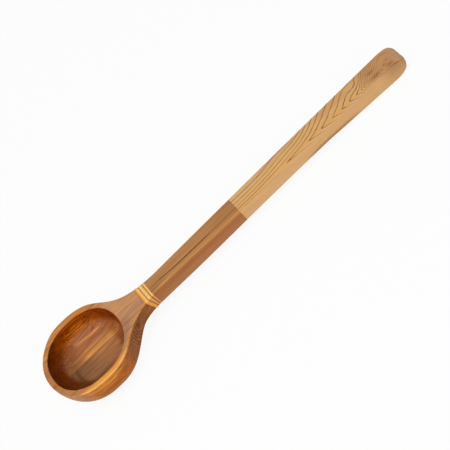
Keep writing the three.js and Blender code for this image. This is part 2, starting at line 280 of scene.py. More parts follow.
def half_width(x):
    """Half-width of the top face as far as the waist: the rim's superellipse, then a Bezier flank that leaves
    it along its tangent and runs level into the waist."""
    rim = rim_half_width * super_height(np.abs(x) / rim_reach, RIM_SQUARENESS)
    return np.where(x <= FLANK_START, rim, np.interp(x, flank[:, 0], flank[:, 1]))


def side_depth(x):
    """Depth of the upright sides below the top face, eased from the bowl over its shoulder and the thin of
    the neck to the waist."""
    return ease(x, (0.0, WALL_HEIGHT), (SHOULDER_AT, SHOULDER_DEPTH), (thin_neck_at, NECK_THICKNESS),
                (waist_at, WAIST_THICKNESS))


def underside_depth(x, y):
    """Depth of the bowl's underside. In front it is a superellipse under the rim, raked towards the tip;
    behind, each section is a superellipse from its middle out to its sides, squarer towards the neck."""
    along, across = np.minimum(x, 0.0) / rim_reach, y / rim_half_width
    away = np.maximum(np.hypot(along, across), 1e-9)
    rake = np.abs(along / away) ** RAKE_SHARPNESS
    front_wall = WALL_HEIGHT + (FRONT_WALL_HEIGHT - WALL_HEIGHT) * rake
    front_squareness = UNDERSIDE_SQUARENESS + (FRONT_SQUARENESS - UNDERSIDE_SQUARENESS) * rake
    reach = (np.abs(along) ** RIM_SQUARENESS + np.abs(across) ** RIM_SQUARENESS) ** (1.0 / RIM_SQUARENESS)
    front = front_wall + (BOWL_HEIGHT - front_wall) * super_height(reach, front_squareness)
    neckwards = smooth(x, FLANK_START, thin_neck_at)
    side = side_depth(x)
    middle = np.maximum(side, BOWL_HEIGHT + (NECK_THICKNESS - BOWL_HEIGHT) * neckwards)
    squared = smooth(x, SHOULDER_AT, thin_neck_at)
    squareness = UNDERSIDE_SQUARENESS + (NECK_SQUARENESS - UNDERSIDE_SQUARENESS) * squared
    side = side - RIM_EDGE_ROUND * squared
    back = side + (middle - side) * super_height(np.abs(y) / np.maximum(half_width(x), 1e-9), squareness)
    return np.where(x < 0.0, front, back)


NECK_COLUMNS = 8
FLANK_COLUMNS = 64
RIM_COLUMNS = 150
UNDERSIDE_RINGS = 51
WALL_RINGS = 8
ROUNDING_RINGS = 6
RIM_RINGS = 12
HOLLOW_RINGS = 45
FLOOR_RINGS = 22


def bowl_outline(neck_end):
    """The bowl's plan for a neck cut off at this place: across the neck's end from its middle, along the
    flank, round the rim to its tip, and back along the other side."""
    across = np.linspace(0.0, half_width(neck_end), NECK_COLUMNS, endpoint=False)
    flank_x = np.linspace(neck_end, FLANK_START, FLANK_COLUMNS, endpoint=False)
    rim_start = math.atan2(flank_top / rim_half_width, FLANK_START / rim_reach)
    rim = super_ring(np.linspace(rim_start, math.pi, RIM_COLUMNS), rim_reach, rim_half_width, RIM_SQUARENESS)
    half = np.concatenate([
        np.stack([np.full_like(across, neck_end), across], -1),
        np.stack([flank_x, half_width(flank_x)], -1), rim])
    half[-1, 1] = 0.0
    return np.concatenate([half, half[-2:0:-1] * (1.0, -1.0)])


def top_outline():
    """The outline of the top face: the bowl's plan, with the near side of its rim flattened and the far side
    swollen by bell curves along the ladle, as the hand tools left it."""
    outline = bowl_outline(band_faces[0])
    x, y = outline.T
    near = smooth(-y, 0.0, rim_half_width)
    y += NEAR_RIM_FLAT * near * around_line(x, NEAR_RIM_FLAT_REACH)
    far = smooth(y, *FAR_RIM_START)
    for place, reach, swell in FAR_RIM_SWELLS:
        y += swell * far * around_line(x - place, reach)
    return outline


def inward_normals(outline):
    """Unit normals of the bowl's outline, pointing in. They are nought across the neck's end, which butts
    against the band, and its corners take those of their neighbours along the flanks."""
    tangent = np.roll(outline, -1, 0) - np.roll(outline, 1, 0)
    inward = np.stack([-tangent[:, 1], tangent[:, 0]], -1) / np.linalg.norm(tangent, axis=1)[:, None]
    half = len(outline) // 2
    inward[np.abs(np.arange(len(outline)) - half) > half - NECK_COLUMNS] = 0.0
    inward[[NECK_COLUMNS, -NECK_COLUMNS]] = inward[[NECK_COLUMNS + 1, -NECK_COLUMNS - 1]]
    return inward


def raised(plan, z):
    """Plan points at this height, or at a height of their own each."""
    return np.concatenate([plan, np.broadcast_to(z, plan.shape[:-1])[..., None]], -1)


def quarter_turn(count, start=0.0):
    """Angles in even steps up to a quarter of a turn, one to a row, without the one they start from."""
    return np.linspace(start, math.pi / 2, count + 1)[1:, None]


def steps_to(first, last, count):
    """Rings in even steps from one ring to another, without the first."""
    return first + (last - first) * np.linspace(0.0, 1.0, count + 1)[1:, None, None]


def bowl_rings():
    """Rings of the bowl's one skin, from the middle of the foot out along the underside, up the wall, over
    the rim's rounded edges, down the hollow's superellipse wall and in to the middle of its floor. With
    them comes a column that tells how far each ring lies inside the hollow."""
    top = top_outline()
    bottom = bowl_outline(band_faces[0] + math.tan(math.radians(BAND_LEANS[0])) * side_depth(band_faces[0]))
    plan = bottom * np.sin(quarter_turn(UNDERSIDE_RINGS))[..., None]
    underside = raised(plan, -underside_depth(plan[..., 0], plan[..., 1]))
    wall = steps_to(underside[-1], raised(top, -RIM_EDGE_ROUND), WALL_RINGS)
    turn = quarter_turn(ROUNDING_RINGS)
    plan = top + inward_normals(top) * RIM_EDGE_ROUND * (1.0 - np.cos(turn))[..., None]
    rim_edge = raised(plan, -RIM_EDGE_ROUND * (1.0 - np.sin(turn)))

    angle = np.arctan2(top[:, 1] / rim_half_width, top[:, 0] / rim_reach)

    def hollow_at(inwards, depth):
        """The hollow's ring this far in from its edge and this deep. The floor's shift comes in with the way
        in, and the near half is drawn in."""
        plan = super_ring(angle, hollow_reach - inwards, hollow_half_width - inwards, HOLLOW_SQUARENESS)
        plan[..., 0] += HOLLOW_FLOOR_SHIFT * np.maximum(inwards, 0.0) / HOLLOW_WALL_RUN
        plan[..., 1] *= 1.0 - NEAR_HOLLOW_INSET / hollow_half_width * (plan[..., 1] < 0.0)
        return raised(plan, -depth)

    rim = steps_to(rim_edge[-1], hollow_at(-HOLLOW_EDGE_ROUND, 0.0), RIM_RINGS)
    hollow_edge = hollow_at(
        HOLLOW_EDGE_ROUND * (np.sin(turn) - 1.0), HOLLOW_EDGE_ROUND * (1.0 - np.cos(turn)))
    first_turn = math.asin((HOLLOW_EDGE_ROUND / HOLLOW_DEPTH) ** (HOLLOW_WALL_CURVE / 2))
    wall_turn = quarter_turn(HOLLOW_RINGS, first_turn)
    inwards = HOLLOW_WALL_RUN * (1.0 - np.maximum(np.cos(wall_turn), 0.0) ** (2.0 / HOLLOW_WALL_CURVE))
    hollow_wall = hollow_at(inwards, HOLLOW_DEPTH * np.sin(wall_turn) ** (2.0 / HOLLOW_WALL_CURVE))
    floor_middle = np.array((HOLLOW_FLOOR_SHIFT, 0.0, -HOLLOW_DEPTH))
    floor = steps_to(hollow_wall[-1], floor_middle, FLOOR_RINGS + 1)[:-1]
    outside = np.concatenate([underside, wall, rim_edge, rim])
    inside = np.concatenate([hollow_wall, floor])
    return np.concatenate([outside, hollow_edge, inside]), np.concatenate([
        np.zeros((len(outside), 1)), turn / (math.pi / 2), np.ones((len(inside), 1))])


def skin(name, rings, figure, material):
    """A closed piece from rings of points. Each ring is joined to the next by quads, and the first and the
    last ring close on one point at their middle. The figure holds attributes: a colour for every point, a
    number for every point, or one number for them all."""
    count, around = rings.shape[:2]

    def with_ends(values):
        """Values of all points in one list, between the means of the first and of the last ring."""
        flat = values.reshape(count * around, *values.shape[2:])
        return np.concatenate([values[:1].mean(1), flat, values[-1:].mean(1)])

    points = laid(with_ends(rings))
    place = np.arange(around)
    after = (place + 1) % around
    ring = np.arange(count - 1)[:, None] * around + 1
    next_ring = ring + around
    quads = np.stack([ring + place, ring + after, next_ring + after, next_ring + place], -1).reshape(-1, 4)
    last = len(points) - 1
    start_fan = np.stack([np.zeros_like(place), 1 + after, 1 + place], -1)
    end_fan = np.stack([np.full_like(place, last), last - around + place, last - around + after], -1)
    mesh = bpy.data.meshes.new(name)
    mesh.from_pydata(points.tolist(), [], quads.tolist() + start_fan.tolist() + end_fan.tolist())
    mesh.polygons.foreach_set("use_smooth", np.ones(len(mesh.polygons), bool))
    for key, values in figure.items():
        if np.ndim(values) == 3:
            rgba = np.insert(with_ends(values), 3, 1.0, axis=1)
            mesh.attributes.new(key, "FLOAT_COLOR", "POINT").data.foreach_set("color", rgba.ravel())
        else:
            numbers = with_ends(np.broadcast_to(values, (count, around)))
            mesh.attributes.new(key, "FLOAT", "POINT").data.foreach_set("value", numbers)
    mesh.materials.append(material)
    return put_in_scene(name, mesh)


def ramp(tree, value, *stops):
    """A value's output through a Color Ramp with these (position, grey level) stops."""
    made = add_node(tree, "ShaderNodeValToRGB", {"Fac": value})
    elements = made.color_ramp.elements
    while len(elements) < len(stops):
        elements.new(0.5)
    for element, (position, grey) in zip(elements, stops):
        element.position = position
        element.color = (grey, grey, grey, 1.0)
    return made.outputs["Color"]


def blend(tree, share, first, second):
    """Two colours blended by a share, through a Mix node."""
    return add_node(tree, "ShaderNodeMix", {0: share, 6: first, 7: second}, data_type="RGBA").outputs[2]


OIL_TINT = (1.0, 0.72, 0.4, 1.0)
OIL_GLOSS = 0.12
OIL_ROUGHNESS = 0.55
FIBRE_RELIEF = 0.12
FIBRE_HEIGHT = 0.0002
FIBRE_SHARE = 1.4
WAVE_LENGTH = 7.0
WAVE_WIDTH = 4.0
GAP_LENGTH = 22.0
GAP_WIDTH = 5.0
RING_FADE = ((0.0, 1.0), (0.45, 0.85), (1.0, 0.0))


def oiled_wood(name, ring_colour, fibre_contrast, fibre_width=0.7, fibre_length=45.0, waviness=0.0):
    """Wood with a satin oil finish. The piece's own tone is its ground colour. Rings, counted by the piece,
    each end in a darker line, which takes the share of the ring and has the strength that the piece says.
    Fibres are noise drawn out along the ladle, and their contrast too is the piece's own."""
    material = bpy.data.materials.new(name)
    tree = emptied(material)
    place = add_node(tree, "ShaderNodeTexCoord").outputs["Object"]
    cos, sin = math.cos(rest_angle), math.sin(rest_angle)
    x, y, z = ladle_origin
    ladle = add_node(tree, "ShaderNodeMapping", {
        "Vector": place, "Location": (z * sin - x * cos, -y, -x * sin - z * cos),
        "Rotation": (0.0, -rest_angle, 0.0), "Scale": (1.0 / MM,) * 3}).outputs[0]

    def own(key, output="Fac"):
        """What the piece itself says for every point."""
        return add_node(tree, "ShaderNodeAttribute", attribute_name=key).outputs[output]

    def noise(length, width, detail):
        """Noise with its middle at a half, of this length along the ladle and of this width across it."""
        drawn_out = add_node(tree, "ShaderNodeVectorMath", {
            0: ladle, 1: (1.0 / length, 1.0 / width, 1.0 / width)}, operation="MULTIPLY").outputs[0]
        return add_node(tree, "ShaderNodeTexNoise", {
            "Vector": drawn_out, "Scale": 1.0, "Detail": detail, "Roughness": 0.6}).outputs["Fac"]

    fibres = noise(fibre_length, fibre_width, 3.0)
    bands = noise(4.0 * fibre_length, 5.0 * fibre_width, 2.0)
    wave = calc(tree, "SUBTRACT", noise(WAVE_LENGTH, WAVE_WIDTH, 2.0), 0.5)
    wave = calc(tree, "MULTIPLY", wave, own("waviness"))
    count = calc(tree, "ADD", own("rings"), calc(tree, "MULTIPLY", wave, waviness))
    to_go = calc(tree, "SUBTRACT", 1.0, calc(tree, "FRACT", count))
    line = ramp(tree, calc(tree, "DIVIDE", to_go, own("line_share")), *RING_FADE)
    uneven = calc(tree, "MULTIPLY_ADD", noise(GAP_LENGTH, GAP_WIDTH, 1.0), 1.6, 0.2)
    line = calc(tree, "MULTIPLY", calc(tree, "MULTIPLY", line, uneven), own("ring_strength"))
    ground = blend(tree, line, own("tone", "Color"), (*ring_colour, 1.0))
    swing = calc(tree, "MULTIPLY_ADD", fibres, FIBRE_SHARE, bands)
    swing = calc(tree, "SUBTRACT", swing, (FIBRE_SHARE + 1.0) / 2)
    lift = calc(tree, "MULTIPLY_ADD", swing, calc(tree, "MULTIPLY", own("grain"), fibre_contrast), 1.0)
    grained = add_node(tree, "ShaderNodeVectorMath", {0: ground, 3: lift}, operation="SCALE").outputs[0]
    relief = add_node(tree, "ShaderNodeBump", {
        "Strength": FIBRE_RELIEF, "Distance": FIBRE_HEIGHT, "Height": fibres})
    surface = add_node(tree, "ShaderNodeBsdfPrincipled", {
        "Base Color": grained, "Roughness": OIL_ROUGHNESS, "Specular IOR Level": OIL_GLOSS,
        "Specular Tint": OIL_TINT, "Normal": relief.outputs["Normal"]})
    add_node(tree, "ShaderNodeOutputMaterial", {"Surface": surface.outputs[0]})
    return material


def colour(red, green, blue):
    """A colour as it looks on screen, 0 to 255, turned to linear light."""
    screen = np.array((red, green, blue)) / 255.0
    return np.where(screen <= 0.04045, screen / 12.92, ((screen + 0.055) / 1.055) ** 2.4)


def painted(ground, *coats):
    """A ground colour with coats of other colours over it, each given with the share that it covers."""
    for coat, share in coats:
        ground = ground + (coat - ground) * np.asarray(share)[..., None]
    return ground


def between(x, start, end, fade):
    """1 between two places, with a smoothstep of this length after the start and before the end."""
    return smooth(x, start, start + fade) * (1.0 - smooth(x, end - fade, end))


def streak(x, across, place, drift, half_breadth, strength, *reach):
    """A streak along the ladle, from where to where its reach says: a bell curve about a place across it
    that drifts with x."""
    return strength * around_line(across - place - drift * x, half_breadth) * between(x, *reach)


NECK_TONE = colour(184, 133, 97)
NECK_FAR_TONE = colour(198, 143, 96)
RIM_TONE = colour(188, 121, 67)
FRONT_RIM_TONE = colour(178, 116, 70)
FAR_RIM_TONE = colour(196, 129, 68)
WALL_TONE = colour(174, 97, 41)
LOW_WALL_TONE = colour(185, 106, 44)
FRONT_WALL_TONE = colour(190, 138, 102)
FLANK_TONE = colour(146, 88, 48)
RIDGE_HIGHLIGHT_TONE = colour(216, 144, 66)
SAPWOOD_TONE = colour(240, 166, 70)
RIM_SAPWOOD_HIGHLIGHT_TONE = colour(255, 188, 96)
# A dark brown for dark grain lines and marks, and for painted shade in the hollow and on the near rim.
DARK_MARK_AND_SHADE_TONE = colour(86, 50, 24)
WALL_GOLD_STREAKS = ((-4.9, -0.015, 0.7, 0.75, -30.0, 24.0, 14.0), (-8.4, 0.0, 0.6, 0.25, -26.0, 12.0, 12.0))


def outside_look(x, y, z, upright, near):
    """Colours and grain of the bowl's outside. The top face is tan, goes over to the neck's colour behind,
    and is darker along the near edge of the neck, where painted shade lies a little in from the edge. The
    wall is darker to the flank and greyer in front. Sapwood runs in gold along the near rim and in streaks
    down the near wall. Painted highlights run along the near rim's rounded edge over the sapwood and along
    the near ridge by the neck, and the far rim's lighter tan is partly painted light."""
    neck = smooth(x + 0.5 * np.maximum(-y - 8.0, 0.0), 28.0, 46.0) * (1.0 - upright)
    in_front = smooth(-x, 16.0, 35.0) * (1.0 - 0.75 * smooth(y, 0.0, 24.0))
    wall = painted(
        WALL_TONE,
        (LOW_WALL_TONE, smooth(-z, 9.0, 15.0)),
        (FLANK_TONE, smooth(x, 11.0, 35.0)),
        (FRONT_WALL_TONE, in_front))
    near_edge = half_width(x) - NEAR_RIM_FLAT * around_line(x, NEAR_RIM_FLAT_REACH)
    inwards = np.maximum(near_edge + y, 0.0) * (1.0 - upright)
    # A painted highlight along the near ridge by the neck, where the rounded edge catches the light.
    ridge = near * smooth(x, 18.0, 32.0) * around_line(np.hypot(inwards, z + 0.3), 1.0)
    # Painted shade a little in from the near edge, from the back of the rim along the neck.
    crease_shade = near * (1.0 - upright) * smooth(inwards, 3.0, 5.5) * between(x, 2.0, 53.0, 9.0)
    gold = smooth(x - 2.0 * inwards, -34.0, -24.0) * (1.0 - smooth(x + 2.2 * inwards, 23.0, 36.0))
    gold = near * gold * around_line(z, 1.6) * (1.0 - smooth(inwards, 3.0, 6.5))
    high_wall = near * upright * between(x, -30.0, 20.0, 12.0) * (1.0 - smooth(-z, 4.5, 8.0))
    tone = painted(
        RIM_TONE,
        (painted(NECK_TONE, (NECK_FAR_TONE, smooth(y, -3.0, 6.0))), neck),
        (FRONT_RIM_TONE, smooth(-x, 14.0, 38.0)),
        # The far rim's lighter tan is partly its wood and partly painted light.
        (FAR_RIM_TONE, smooth(y, 10.0, 25.0) * (1.0 - smooth(x, 10.0, 26.0))),
        (wall, upright),
        (RIDGE_HIGHLIGHT_TONE, 0.85 * ridge),
        (DARK_MARK_AND_SHADE_TONE, 0.24 * crease_shade),
        (SAPWOOD_TONE, 0.66 * gold),
        (SAPWOOD_TONE, 0.17 * high_wall),
        # Over the gold sapwood, a painted highlight along the near rim's rounded edge.
        (RIM_SAPWOOD_HIGHLIGHT_TONE, 0.82 * gold * around_line(np.hypot(inwards - 0.3, z), 0.7)),
        *((SAPWOOD_TONE, near * streak(x, z, *values)) for values in WALL_GOLD_STREAKS))
    return tone, 1.0 - 0.4 * upright * in_front - 0.3 * neck


HOLLOW_TONE = colour(139, 59, 4)
HOLLOW_FRONT_TONE = colour(103, 43, 0)
HOLLOW_NEAR_TONE = colour(84, 42, 0)
HOLLOW_LOW_TONE = colour(177, 102, 52)
EYE_TONE = colour(188, 94, 3)
EYE_LOW_TONE = colour(210, 120, 24)
FLOOR_TONE = colour(174, 114, 70)
FLOOR_FAR_TONE = colour(172, 110, 73)
FLOOR_GREY_TONE = colour(154, 105, 70)
FLOOR_GOLD_TONE = colour(230, 160, 84)
BACK_SHADE_TONE = colour(104, 52, 26)
FLOOR_GOLD_STREAKS = ((29.8, -0.09, 1.0, 0.75, -17.0, 27.0, 12.0), (17.8, 0.0, 0.8, 0.4, -12.0, 30.0, 10.0))
FLOOR_DARK_LINES = ((0.2, 1.2, 0.16), (5.8, 1.2, 0.12), (22.5, 1.6, 0.1))


def hollow_look(x, y, z):
    """Colours of the hollow, and how much stronger than outside its grain is. The wall is red-brown, darkest
    in front and near, and amber round the eye on the far side. The floor lies in long stripes, gold, tan,
    grey and dark. Painted shade darkens it to the front, to the near side and in its far front corner, and
    along the crease at its front edge; painted shade also darkens the back wall's near half low down."""
    wall = painted(
        HOLLOW_TONE,
        (HOLLOW_FRONT_TONE, smooth(-x, 0.0, 38.0)),
        (HOLLOW_NEAR_TONE, smooth(-y, 4.0, 16.0) * smooth(-x, 4.0, 24.0)),
        (painted(EYE_TONE, (EYE_LOW_TONE, smooth(-z, 8.0, 13.0))),
         0.95 * smooth(y, 20.0, 30.0) * around_line(x - 4.5, 16.0)),
        (HOLLOW_LOW_TONE,
         smooth(-z, 12.0, 17.0) * smooth(x, -16.0, 4.0) * (1.0 - 0.75 * smooth(x, 14.0, 30.0))))
    grey = smooth(5.0 * smooth(-x, 2.0, 12.0) - y, -6.0, 1.0) * (1.0 - 0.8 * smooth(x, -4.0, 14.0))
    gold = 0.25 * between(x, -35.0, 40.0, 8.0) + 0.65 * between(x, -14.0, 39.0, 10.0)
    gold = gold * smooth(y, 5.6, 8.6) * (1.0 - smooth(y, 9.6, 17.0))
    dark_lines = sum(
        share * around_line(y - place, half_breadth) for place, half_breadth, share in FLOOR_DARK_LINES)
    floor = painted(
        FLOOR_TONE,
        (FLOOR_FAR_TONE, smooth(y, 14.0, 22.0)),
        (FLOOR_GREY_TONE, grey),
        (FLOOR_GOLD_TONE, gold),
        *((FLOOR_GOLD_TONE, streak(x, y, *values)) for values in FLOOR_GOLD_STREAKS),
        (DARK_MARK_AND_SHADE_TONE, dark_lines),
        # Painted shade: the floor darkens towards the near wall, towards the front and in its far front
        # corner.
        (DARK_MARK_AND_SHADE_TONE, 0.5 * smooth(-y, 5.0, 24.0)),
        (DARK_MARK_AND_SHADE_TONE, 0.45 * smooth(-x, 4.0, 26.0) * (1.0 - 0.4 * smooth(-y, -2.0, 4.0))),
        (HOLLOW_TONE, 0.35 * smooth(y, 19.0, 26.0) * smooth(-x, 6.0, 18.0)))
    to_front = -x + 0.9 * np.maximum(-y - 2.0, 0.0) - 2.0 * smooth(y, -2.0, 6.0)
    laid_flat = smooth(-z, 13.5, 19.5) * (1.0 - smooth(to_front, 24.5, 33.0))
    laid_flat = laid_flat * (1.0 - 0.6 * smooth(x, 22.0, 31.0))
    floor_reach = np.hypot(
        (x - HOLLOW_FLOOR_SHIFT) / (hollow_reach - HOLLOW_WALL_RUN),
        y / (hollow_half_width - HOLLOW_WALL_RUN))
    crease_shade = around_line(floor_reach - 0.98, 0.06) * smooth(-z, HOLLOW_DEPTH - 2.0, HOLLOW_DEPTH - 0.4)
    tone = painted(
        wall,
        (floor, laid_flat),
        # Painted shade along the crease where the floor meets the front wall.
        (DARK_MARK_AND_SHADE_TONE, 0.62 * crease_shade * smooth(-x, 14.0, 22.0) * (1.0 - smooth(y, 3.0, 11.0))),
        # Painted shade on the back wall's near half, low down by the neck.
        (BACK_SHADE_TONE,
         0.55 * smooth(x, 26.0, 30.0) * (1.0 - smooth(y, -1.0, 7.0)) * smooth(-z, 6.0, 12.0)))
    return tone, 0.35 - 0.6 * gold * laid_flat


BOWL_RING_COLOUR = colour(84, 30, 2)
NECK_KNOT_TONE = colour(62, 34, 26)
EYE_START = -8.7
EYE_END = 11.8
EYE_TAPER_START = 6.8
EYE_TAPER = 0.14
EYE_DEPTH = 8.2
EYE_SPACING = 2.3
KNOT_PLACE = (51.7, -7.8)
KNOT_FLATNESS = 0.6
KNOT_SPACING = 2.3


def bowl_figure(points, inside):
    """The bowl's colours and rings. Rings run round a long eye on the hollow's far wall, which tapers to the
    front, and in arches round a knot on the neck's near side. Both are counted by the distance from it."""
    x, y, z = np.moveaxis(points, -1, 0)
    upright = smooth(-z, 0.15, 0.7) * (1.0 - inside)
    near = smooth(-y, 4.0, 8.0) * (1.0 - inside)
    outside_tone, grain = outside_look(x, y, z, upright, near)
    hollow_tone, more_grain = hollow_look(x, y, z)
    past_eye = np.maximum(EYE_START - x, 0.0) + np.maximum(x - EYE_END, 0.0)
    taper = EYE_TAPER * np.clip(EYE_TAPER_START - x, 0.0, EYE_TAPER_START - EYE_START)
    eye_rings = np.hypot(past_eye + taper, z + EYE_DEPTH) / EYE_SPACING
    round_eye = inside * smooth(y, 20.0, 30.0) * (1.0 - smooth(-z, 13.0, 16.0))
    round_eye = round_eye * (1.0 - smooth(eye_rings, 3.2, 4.6))
    past_knot = x - KNOT_PLACE[0]
    from_knot = np.hypot(past_knot, (z - KNOT_PLACE[1]) * KNOT_FLATNESS)
    round_knot = upright * near * (1.0 - smooth(from_knot, 11.0, 19.0)) * smooth(x, 18.0, 32.0)
    round_knot = round_knot * (1.0 - 0.75 * smooth(past_knot, -3.0, 4.0))
    tone = painted(
        outside_tone,
        (hollow_tone, inside),
        (NECK_KNOT_TONE, 0.8 * upright * near * around_line(from_knot, 1.2)),
        (DARK_MARK_AND_SHADE_TONE, 0.2 * upright * near * smooth(x, 50.0, 56.0) * around_line(z + 4.0, 2.2)))
    return {
        "tone": tone,
        "rings": np.where(inside > 0.5, eye_rings, from_knot / KNOT_SPACING),
        "line_share": np.where(inside > 0.5, 0.42, 0.5),
        "ring_strength": 0.9 * round_eye + 0.7 * round_knot,
        "waviness": 0.15 * round_eye + round_knot,
        "grain": grain + inside * more_grain,
    }


rings, inside = bowl_rings()
bowl_wood = oiled_wood(
    "bowl_wood", BOWL_RING_COLOUR, fibre_contrast=1.15, fibre_width=0.8, fibre_length=20.0, waviness=1.2)
bowl = skin("carved_bowl", rings, bowl_figure(rings, inside), bowl_wood)
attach(bowl, "root")
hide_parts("bowl")

# Neck band: five slips of pale, dark and tan wood, glued side by side on the slant between the neck and the
# handle. They stand a little proud and are rounded over, so that each shows as a strip of its own.
BAND_PROUD = 0.3
BAND_GROOVE = 0.12
BAND_EDGE_ROUND = 1.0
SLIP_CURVE = 3.0
SLIP_RINGS = 11
SLIP_SIDE_POINTS = 22
CORNER_POINTS = 6
YELLOW_TONE = colour(246, 194, 104)
AMBER_TONE = colour(224, 152, 66)
CORE_TONE = colour(242, 194, 124)
SLIP_DARK_TONE = colour(180, 120, 64)
SLIP_SIDE_TONE = colour(230, 162, 87)
CORE_RING_COLOUR = colour(168, 108, 56)
CORE_RING_DEPTH = 7.0


def rounded_section(side_points):
    """Unit ring of a rounded box section, over the top from its far side to its near side, down, back along
    the bottom and up. For each point: the corner that it leans on, from -1 to 1 each way, and the direction
    in which the rounding's radius carries it out."""
    lean_on, bearing = [], []
    corners = np.array(((1, 1), (-1, 1), (-1, -1), (1, -1), (1, 1)), float)
    share = np.linspace(0.0, 1.0, side_points, endpoint=False)[:, None]
    turn = np.linspace(0.0, math.pi / 2, CORNER_POINTS, endpoint=False)
    for side, (start, end) in enumerate(zip(corners, corners[1:])):
        lean_on += [start * (1 - share) + end * share, np.tile(end, (CORNER_POINTS, 1))]
        square_out = math.pi / 2 * (side + 1)
        bearing += [np.full(side_points, square_out), square_out + turn]
    bearing = np.concatenate(bearing)
    return np.concatenate(lean_on), np.stack([np.cos(bearing), np.sin(bearing)], -1)


def bar(x, half_breadth, top, bottom, edge_round, side_points):
    """Rings of a bar along the ladle: at each place a rounded box section of its own half-breadth and of its
    own heights of top and bottom. The rounding is never more than the section has room for."""
    lean_on, out = rounded_section(side_points)
    half_breadth, top, bottom = (
        np.broadcast_to(values, x.shape)[:, None] for values in (half_breadth, top, bottom))
    radius = np.minimum(edge_round, 0.49 * np.minimum(top - bottom, 2.0 * half_breadth))
    y = lean_on[:, 0] * (half_breadth - radius) + radius * out[:, 0]
    z = (top + bottom) / 2 + lean_on[:, 1] * ((top - bottom) / 2 - radius) + radius * out[:, 1]
    return np.stack([np.broadcast_to(x[:, None], y.shape), y, z], -1)


def slip(index, proud):
    """Rings of one slip of the band, between two planes that lean towards the handle as they go down, and
    the share of the way from one to the other. Its outer faces swell from its edges to its middle by a
    circle-like curve."""
    share = np.linspace(0.0, 1.0, SLIP_RINGS)
    swell = proud * (1.0 - np.abs(2.0 * share - 1.0) ** SLIP_CURVE) ** 0.5
    start, end = band_faces[index:index + 2]
    start_lean, end_lean = np.tan(np.radians(BAND_LEANS[index:index + 2]))
    x = start + (end - start) * share
    rings = bar(x, half_width(x) + swell, swell, -side_depth(x) - swell, BAND_EDGE_ROUND, SLIP_SIDE_POINTS)
    share = share[:, None]
    depth = -rings[..., 2]
    rings[..., 0] = (start + depth * start_lean) * (1.0 - share) + (end + depth * end_lean) * share
    return rings, share


band_wood = oiled_wood(
    "band_wood", CORE_RING_COLOUR, fibre_contrast=0.3, fibre_width=0.5, fibre_length=3.0, waviness=0.8)
for index, (node, slot, edge_tone, middle_tone, proud) in enumerate((
    ("band_strip_bowl_side", "band_bright_wood", AMBER_TONE, YELLOW_TONE, BAND_PROUD),
    ("band_veneer_bowl_side", "band_dark_wood", SLIP_DARK_TONE, SLIP_DARK_TONE, BAND_GROOVE),
    ("band_core", "band_core_wood", CORE_TONE, CORE_TONE, BAND_PROUD),
    ("band_veneer_handle_side", "band_dark_wood", SLIP_DARK_TONE, SLIP_DARK_TONE, BAND_GROOVE),
    ("band_strip_handle_side", "band_bright_wood", YELLOW_TONE, YELLOW_TONE, BAND_PROUD),
)):
    rings, share = slip(index, proud)
    depth = -rings[..., 2]
    figure = {
        "tone": painted(
            edge_tone,
            (middle_tone, smooth(share, 0.15, 0.6)),
            (SLIP_SIDE_TONE * middle_tone / YELLOW_TONE, smooth(depth, 0.5, 2.5))),
        "rings": np.hypot((share - 0.5) * 1.6, (depth - CORE_RING_DEPTH) / 3.6) * 2.0,
        "line_share": 0.5,
        "ring_strength": 0.3 * smooth(depth, 1.0, 3.0) * float(node == "band_core"),
        "waviness": 1.0,
        "grain": 1.0,
    }
    strip = skin("slip_" + node, rings, figure, band_wood)
    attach(strip, "root")
    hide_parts(node)

# Lower handle: a straight-grained length of darker wood, glued to the band and doweled, planed flat on top
# and swelling a little towards the hand. One dark resin streak runs along its top face.
GRIP_WIDTH = 24.2
GRIP_SWELL = 1.7
SLIM_PAST_JOINT = 77.0
SLIM_THICKNESS = 14.2
HEEL_RAMP_START = 31.0
HANDLE_EDGE_ROUND = 0.8
HANDLE_GROWTH = 0.25
HANDLE_SIDE_POINTS = 36
LOWER_HANDLE_RINGS = 120
DARK_TOP_TONE = colour(181, 126, 77)
DARK_JOINT_TONE = colour(174, 119, 71)
DARK_SIDE_TONE = colour(170, 108, 64)
DARK_LOW_TONE = colour(182, 121, 74)
DARK_EDGE_HIGHLIGHT_TONE = colour(204, 144, 84)
DARK_STREAK_COLOUR = colour(62, 42, 38)
STREAK_PLACE = -3.95
STREAK_BEND = 1.7
STREAK_BEND_START = 16.0
STREAK_BEND_REACH = 14.0
STREAK_STRENGTH = (
    (0.0, 0.55), (10.0, 0.6), (19.0, 1.7), (40.0, 1.5), (66.0, 1.1), (84.0, 0.7), (108.0, 0.45))
STREAK_RING = 0.9
STREAK_RING_RATE = 0.15

slim_at = joint_at + SLIM_PAST_JOINT


def handle_half_width(x):
    """Half-width of the handle: that of the waist, widening by a power of the way to the handle's end."""
    to_go = np.clip((handle_end - x) / (handle_end - waist_at), 0.0, 1.0)
    return half_width(x) + (GRIP_WIDTH - WAIST_WIDTH) / 2 * (1.0 - to_go ** GRIP_SWELL)


def handle_depth(x):
    """Depth of the handle below its top face: that of the waist, eased to its slim part, and then growing
    evenly to the heel."""
    slimmer = (SLIM_THICKNESS - WAIST_THICKNESS) * smooth(x, waist_at, slim_at)
    to_heel = np.clip((x - slim_at - HEEL_RAMP_START) / (heel_at - slim_at - HEEL_RAMP_START), 0.0, 1.0)
    return side_depth(x) + slimmer + (HEEL_THICKNESS - SLIM_THICKNESS) * to_heel


def handle_bar(x, half_breadth, top, bottom):
    """Rings of a length of the handle at these places, grown by what the rounding takes off its outline."""
    return bar(
        x, half_breadth + HANDLE_GROWTH, top, bottom - HANDLE_GROWTH, HANDLE_EDGE_ROUND, HANDLE_SIDE_POINTS)


